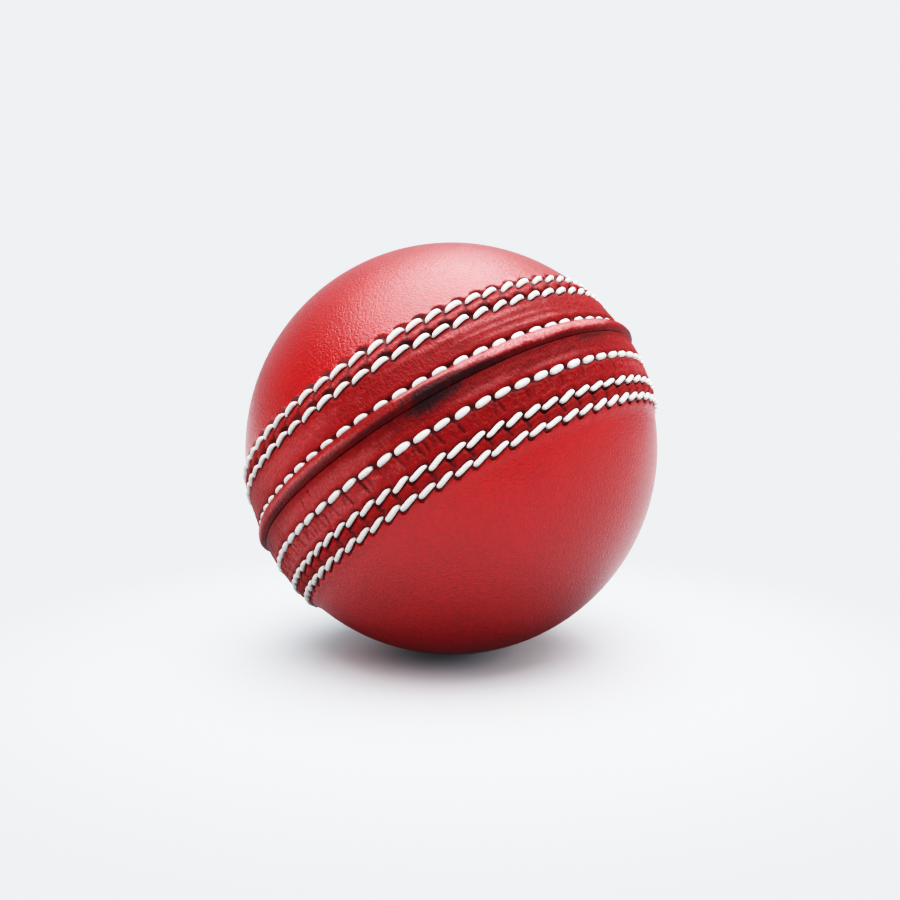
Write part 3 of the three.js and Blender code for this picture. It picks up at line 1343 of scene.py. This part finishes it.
@dataclass(frozen=True)
class WaxedThread:
    """Bleached linen thread drawn through wax: off-white, softly shiny, with its twist showing."""

    colour: str = "eae7e3"
    shade: str = "b3aea8"
    strand: float = 0.42  # millimetres along the thread from one strand to the next
    fibre: float = 0.22
    roughness: float = 0.55

    def material(self) -> bpy.types.Material:
        """Make the material, whose strands follow the thread's own length and girth.

        Returns:
            The material.
        """
        finish, tree = blank_material("waxed_linen_thread")
        place = add_node(tree, "TexCoord", output="Object")
        along, across = (
            add_node(tree, "Attribute", output="Fac", attribute_name=name) for name in ("along", "across")
        )
        slant = add_node(tree, "Math", {0: across, 1: 0.55, 2: along}, operation="MULTIPLY_ADD")
        turns = add_node(tree, "Math", {0: slant, 1: 2 * math.pi / self.strand}, operation="MULTIPLY")
        wave = add_node(tree, "Math", {0: turns}, operation="SINE")
        groove = add_node(
            tree, "MapRange", {"Value": wave, "From Min": -1.0, "From Max": -0.2},
            interpolation_type="SMOOTHSTEP",
        )
        fibres = add_node(tree, "TexNoise", {"Vector": place, "Scale": per_mm(self.fibre), "Detail": 3.0})
        clean = add_node(
            tree, "MapRange",
            {"Value": fibres, "From Min": 0.3, "From Max": 0.6, "To Min": 0.55, "To Max": 1.0},
        )
        # Painted shade in the grooves of the twist darkens the thread, over the fibres' uneven tone.
        bright = add_node(tree, "MapRange", {"Value": groove, "To Min": 0.65, "To Max": 1.0})
        share = add_node(tree, "Math", {0: clean, 1: bright}, operation="MULTIPLY")
        colour = add_node(
            tree, "Mix", {0: share, 6: linear(self.shade), 7: linear(self.colour)}, 2, data_type="RGBA"
        )
        twist = add_node(tree, "Bump", {"Height": groove, "Strength": 0.4, "Distance": 0.04 * MM})
        fuzz = add_node(
            tree, "Bump", {"Height": fibres, "Strength": 0.3, "Distance": 0.05 * MM, "Normal": twist}
        )
        shader = add_node(
            tree, "BsdfPrincipled", {"Base Color": colour, "Roughness": self.roughness, "Normal": fuzz}
        )
        add_node(tree, "OutputMaterial", {"Surface": shader})
        return finish


@dataclass(frozen=True)
class WoundWool:
    """Undyed woollen yarn, wound tightly in great circles that cross: matt, with a ridge to each turn."""

    colour: str = "d9c9a6"
    shade: str = "8f7b58"
    yarn: float = 0.9  # millimetres from one turn of yarn to the next
    patch: float = 8.0  # millimetres across a patch wound one way
    roughness: float = 0.9

    def material(self) -> bpy.types.Material:
        """Make the material, wound two ways in patches.

        Returns:
            The material.
        """
        finish, tree = blank_material("wound_wool_yarn")
        place = add_node(tree, "TexCoord", output="Object")
        one_way, other_way = (
            add_node(
                tree, "TexWave",
                {
                    "Vector": add_node(tree, "Mapping", {"Vector": place, "Rotation": turn}),
                    "Scale": 0.314 * per_mm(self.yarn),
                    "Distortion": 0.6,
                },
                "Fac", wave_profile="SIN",
            )
            for turn in ((0.3, 0.9, 0.2), (1.2, -0.5, 0.8))
        )
        patches = add_node(tree, "TexNoise", {"Vector": place, "Scale": per_mm(self.patch)})
        over = add_node(tree, "MapRange", {"Value": patches, "From Min": 0.48, "From Max": 0.52})
        yarn = add_node(tree, "Mix", {0: over, 2: one_way, 3: other_way}, data_type="FLOAT")
        # Painted shade between the turns of yarn.
        colour = add_node(
            tree, "Mix", {0: yarn, 6: linear(self.shade), 7: linear(self.colour)}, 2, data_type="RGBA"
        )
        bump = add_node(tree, "Bump", {"Height": yarn, "Strength": 0.7, "Distance": 0.3 * MM})
        shader = add_node(
            tree, "BsdfPrincipled", {"Base Color": colour, "Roughness": self.roughness, "Normal": bump}
        )
        add_node(tree, "OutputMaterial", {"Surface": shader})
        return finish


@dataclass(frozen=True)
class Cork:
    """Cork in grains, pressed into a sheet or bound with dark rubber: matt, with pits between grains."""

    name: str
    grains: str
    binder: str
    grain: float  # millimetres across one grain
    spread: float  # how much of the surface is binder, from 0 to 1
    tint: float = 2.0  # millimetres across a lighter or darker place
    roughness: float = 0.85

    def material(self) -> bpy.types.Material:
        """Make the material.

        Returns:
            The material.
        """
        finish, tree = blank_material(self.name)
        place = add_node(tree, "TexCoord", output="Object")
        edge = add_node(
            tree, "TexVoronoi", {"Vector": place, "Scale": per_mm(self.grain)},
            "Distance", feature="DISTANCE_TO_EDGE",
        )
        tint = add_node(tree, "TexNoise", {"Vector": place, "Scale": per_mm(self.tint), "Detail": 3.0})
        solid = add_node(
            tree, "MapRange",
            {"Value": edge, "From Min": 0.5 * self.spread, "From Max": 0.5 * self.spread + 0.08},
            interpolation_type="SMOOTHSTEP",
        )
        share = add_node(tree, "Math", {0: solid, 1: tint}, operation="MULTIPLY")
        shown = add_node(tree, "MapRange", {"Value": share, "From Max": 0.6})
        colour = add_node(
            tree, "Mix", {0: shown, 6: linear(self.binder), 7: linear(self.grains)}, 2, data_type="RGBA"
        )
        bump = add_node(tree, "Bump", {"Height": solid, "Strength": 0.5, "Distance": 0.15 * MM})
        shader = add_node(
            tree, "BsdfPrincipled", {"Base Color": colour, "Roughness": self.roughness, "Normal": bump}
        )
        add_node(tree, "OutputMaterial", {"Surface": shader})
        return finish


# ---------------------------------------------------------------------------- the studio


ROOM_COLOUR = "e9eff4"
ROOM_LIGHT = 1.38


@dataclass(frozen=True)
class BackgroundPaper:
    """Matt white paper with a painted shadow near the ball, which fades into the pale room away from the
    ball. Its distances are in metres.
    """

    colour: str = "e4e8ea"
    painted_shadow_colour: str = "7a8189"  # painted shadow, where the ball keeps the light off the paper
    bounce_colour: str = "62676e"  # what the ball sees of the paper, so that it stays deep red below
    roughness: float = 0.85
    specular: float = 0.1
    fade: tuple[float, float] = (0.0, 0.10)  # where it starts and ends to fade into the room
    mirrored: tuple[float, float] = (0.018, 0.056)  # the same, as the ball mirrors it
    hidden: tuple[float, float] = (0.001, 0.018)  # where the painted shadow starts and ends, from a spot just in front of where the ball rests
    hidden_spot: tuple[float, float, float] = (0.002, 0.006, 0.0)  # added to a place to count from it

    def material(self) -> bpy.types.Material:
        """Make the material.

        Returns:
            The material.
        """
        finish, tree = blank_material("white_background_paper")
        place = add_node(tree, "TexCoord", output="Object")
        level = add_node(tree, "VectorMath", {0: place, 1: (1.0, 1.0, 0.0)}, operation="MULTIPLY")
        spot = add_node(tree, "VectorMath", {0: level, 1: self.hidden_spot}, operation="ADD")
        away, mirrored, past_painted_shadow = (
            add_node(
                tree, "MapRange",
                {
                    "Value": add_node(tree, "VectorMath", {0: start}, "Value", operation="LENGTH"),
                    "From Min": near,
                    "From Max": far,
                },
                interpolation_type="SMOOTHSTEP",
            )
            for start, (near, far) in ((level, self.fade), (level, self.mirrored), (spot, self.hidden))
        )
        seen, bounced, reflected = (
            add_node(tree, "LightPath", output=f"Is {kind} Ray") for kind in ("Camera", "Diffuse", "Glossy")
        )
        hidden, white, bounce, room = (
            linear(tint)
            for tint in (self.painted_shadow_colour, self.colour, self.bounce_colour, ROOM_COLOUR)
        )
        # Painted shadow near the ball, which only the camera sees.
        shaded = add_node(tree, "Mix", {0: past_painted_shadow, 6: hidden, 7: white}, 2, data_type="RGBA")
        near_colour = add_node(tree, "Mix", {0: seen, 6: bounce, 7: shaded}, 2, data_type="RGBA")
        far_colour = add_node(tree, "Mix", {0: bounced, 6: room, 7: bounce}, 2, data_type="RGBA")
        matt = add_node(
            tree, "BsdfPrincipled",
            {"Base Color": near_colour, "Roughness": self.roughness, "Specular IOR Level": self.specular},
        )
        glow = add_node(tree, "Emission", {"Color": far_colour, "Strength": ROOM_LIGHT})
        faded = add_node(tree, "Mix", {0: reflected, 2: away, 3: mirrored}, data_type="FLOAT")
        mixed = add_node(tree, "MixShader", {0: faded, 1: matt, 2: glow})
        add_node(tree, "OutputMaterial", {"Surface": mixed})
        return finish


@dataclass
class Studio:
    """A pale seamless floor, soft lights and a low camera close to the ball, in metres."""

    ball_radius: float = 0.036
    camera_distance: float = 0.2002
    camera_height: float = 6.0  # degrees above the ball's centre
    lens: float = 45.1  # millimetres
    sensor: float = 36.0
    shift: tuple[float, float] = (-0.0015556, -0.0017778)  # of the frame's width
    nearest: float = 0.01
    floor_radius: float = 6.0
    paper: BackgroundPaper = field(default_factory=BackgroundPaper)
    room_way: tuple[float, float, float] = (0.35, 0.94, 0.0)  # the room is lit on this side
    room_edge: tuple[float, float] = (-0.05, 0.6)  # how far towards it the light starts and is full
    room_glow: tuple[float, float] = (0.13, 0.6)  # on the dark side and on the lit side
    lamp_colour: tuple[float, float, float] = (0.97, 0.98, 1.0)
    # The print's contrast: what a tone of the scene, up to the brightest, becomes.
    brightest: float = 2.0
    tones: tuple[tuple[float, float], ...] = (
        (0.04, 0.045), (0.15, 0.29), (0.3, 0.58), (0.5, 0.82), (0.75, 0.94),
    )

    def build(self) -> None:
        """Set up the floor, the lights, the camera, the room and the print's contrast."""
        self._floor()
        self._light("overhead_softbox", (0.025, -0.03, 0.55), (0.89, 0.84), 11.8, True)
        self._light("left_fill", (-0.6, -0.7, 0.04), (0.6, 0.3), 10.5, False)
        self._light("right_fill", (0.9, -0.35, 0.08), (0.6, 0.5), 12.0, False)
        self._camera()
        self._room()
        view = bpy.context.scene.view_settings
        view.view_transform = "Standard"
        view.use_curve_mapping = True
        view.curve_mapping.white_level = (self.brightest,) * 3
        for tone, shown in self.tones:
            view.curve_mapping.curves[3].points.new(tone, shown)
        view.curve_mapping.update()

    def _camera(self) -> None:
        """Stand the camera in front of the ball, a little above it."""
        camera = bpy.data.objects.new("camera", bpy.data.cameras.new("camera"))
        bpy.context.scene.collection.objects.link(camera)
        height = math.radians(self.camera_height)
        way = Vector((0, -math.cos(height), math.sin(height)))
        camera.location = self.camera_distance * way
        camera.rotation_euler = (math.pi / 2 - height, 0, 0)
        camera.data.lens = self.lens
        camera.data.sensor_width = self.sensor
        camera.data.clip_start = self.nearest
        camera.data.shift_x, camera.data.shift_y = self.shift
        bpy.context.scene.camera = camera

    def _floor(self) -> None:
        """Lay a wide round floor that the ball touches."""
        deselect_all()
        bpy.ops.mesh.primitive_circle_add(
            vertices=96, radius=self.floor_radius, fill_type="NGON", location=(0, 0, -self.ball_radius)
        )
        floor = bpy.context.object
        floor.name = "studio_floor"
        bpy.ops.object.transform_apply(location=True, rotation=False, scale=False)
        floor.data.materials.append(self.paper.material())

    def _light(
        self, name: str, place: Sequence[float], size: Sequence[float], power: float, shine: bool
    ) -> None:
        """Hang a rectangular soft light that looks at the ball.

        Args:
            name: The light's name.
            place: Where it hangs.
            size: Its width and height.
            power: Its power in watts.
            shine: Whether the ball mirrors it.
        """
        lamp = bpy.data.lights.new(name, "AREA")
        lamp.shape = "RECTANGLE"
        lamp.size, lamp.size_y = size
        lamp.energy = power
        lamp.color = self.lamp_colour
        light = bpy.data.objects.new(name, lamp)
        light.location = place
        light.rotation_euler = Vector(place).to_track_quat("Z", "Y").to_euler()
        light.visible_glossy = shine
        bpy.context.scene.collection.objects.link(light)

    def _room(self) -> None:
        """Surround the ball with a pale room, darker on the camera's side."""
        world = bpy.data.worlds.new("pale_room")
        world.use_nodes = True
        tree = world.node_tree
        tree.nodes.clear()
        way = add_node(tree, "TexCoord", output="Generated")
        behind = add_node(tree, "VectorMath", {0: way, 1: self.room_way}, "Value", operation="DOT_PRODUCT")
        start, full = self.room_edge
        dim, lit = self.room_glow
        glow = add_node(
            tree, "MapRange",
            {"Value": behind, "From Min": start, "From Max": full, "To Min": dim, "To Max": lit},
            interpolation_type="SMOOTHSTEP",
        )
        seen = add_node(tree, "LightPath", output="Is Camera Ray")
        strength = add_node(tree, "Mix", {0: seen, 2: glow, 3: ROOM_LIGHT}, data_type="FLOAT")
        sky = add_node(tree, "Background", {"Color": linear(ROOM_COLOUR), "Strength": strength})
        add_node(tree, "OutputWorld", {"Surface": sky})
        bpy.context.scene.world = world


# ---------------------------------------------------------------------------- the ball


CORE_RADIUS = 32.1
WINDING_THICKNESS = 3.3
WINDING_EYE = 1.2  # radius of the small eye that a winding leaves round its axis
CORK_THICKNESS = 2.8
LAYER_GAP = 0.3
CORE_LAYERS = (  # each winding, and the cork under it, from the outside in
    ("outer_winding", "outer_cork"),
    ("middle_winding", "inner_cork"),
    ("inner_winding", None),
)

UPPER_SECTION: Outline = (
    (14.6, 0.0), (13.2, 0.03), (11.8, 0.10), (10.3, 0.20), (8.8, 0.15), (7.2, 0.22), (5.8, 0.20),
    (4.3, 0.20), (3.5, 0.16), (3.05, 0.16), (2.72, 0.28), (2.44, 0.48), (2.1, 0.74), (1.65, 0.97),
    (1.2, 1.12), (0.86, 1.14), (0.63, 1.02), (0.45, 0.84), (0.29, 0.67), (0.17, 0.55), (0.09, 0.44),
    (0.06, 0.2), (0.05, -0.6),
)
LOWER_SECTION: Outline = (
    (-14.6, 0.0), (-13.6, 0.02), (-12.3, 0.2), (-11.3, 0.32), (-9.9, 0.42), (-8.6, 0.40),
    (-7.8, 0.46), (-6.4, 0.5), (-5.0, 0.42), (-4.3, 0.36), (-3.6, 0.44), (-2.6, 0.5), (-1.5, 0.46),
    (-0.8, 0.40), (-0.35, 0.44), (-0.13, 0.47), (-0.02, 0.43), (0.025, 0.32), (0.035, 0.1),
    (0.02, -0.6),
)


def build_core(seam: SeamFrame) -> None:
    """Build the windings, the cork layers and the pill, and report each.

    Args:
        seam: Where the seam lies, which the layers share.
    """
    wool = WoundWool().material()
    cork = Cork("pressed_sheet_cork", "c59a66", "6e4a2b", grain=1.6, spread=0.08).material()
    bonded = Cork("cork_bound_with_rubber", "a5713f", "2a211c", grain=1.3, spread=0.30).material()
    half_gap = LAYER_GAP / 2
    radius = CORE_RADIUS
    for winding, cork_layer in CORE_LAYERS:
        inner = radius - WINDING_THICKNESS
        eye = math.sqrt(inner**2 - WINDING_EYE**2)
        layer = CoreLayer(winding, radius, inner, -eye, eye, seam).build()
        hand_over(layer, winding, wool)
        radius = inner - LAYER_GAP
        if cork_layer:
            inner = radius - CORK_THICKNESS
            for half, low, high in (("_upper", half_gap, None), ("_lower", None, -half_gap)):
                layer = CoreLayer(cork_layer + half, radius, inner, low, high, seam).build()
                hand_over(layer, cork_layer + half, cork)
            radius = inner - LAYER_GAP
    hand_over(CoreLayer("core_pill", radius, seam=seam).build(), "core_pill", bonded)


def main() -> None:
    """Build the ball and its studio."""
    logging.basicConfig(level=logging.INFO, format="%(name)s: %(message)s")
    seam = SeamFrame()
    leather = LacqueredLeather().material(seam)
    thread = WaxedThread().material()
    sections = {Side.UPPER: UPPER_SECTION, Side.LOWER: LOWER_SECTION}
    for side, name in ((Side.UPPER, "upper_cup"), (Side.LOWER, "lower_cup")):
        cup = LeatherCup("leather_" + name, side, sections[side]).build()
        hand_over(cup, name, leather)
    for row in ROWS:
        stitches = StitchedRow(row, sections[row.side]).build()
        hand_over(stitches, row.node, thread)
    build_core(seam)
    Studio().build()


if __name__ == "__main__":
    main()
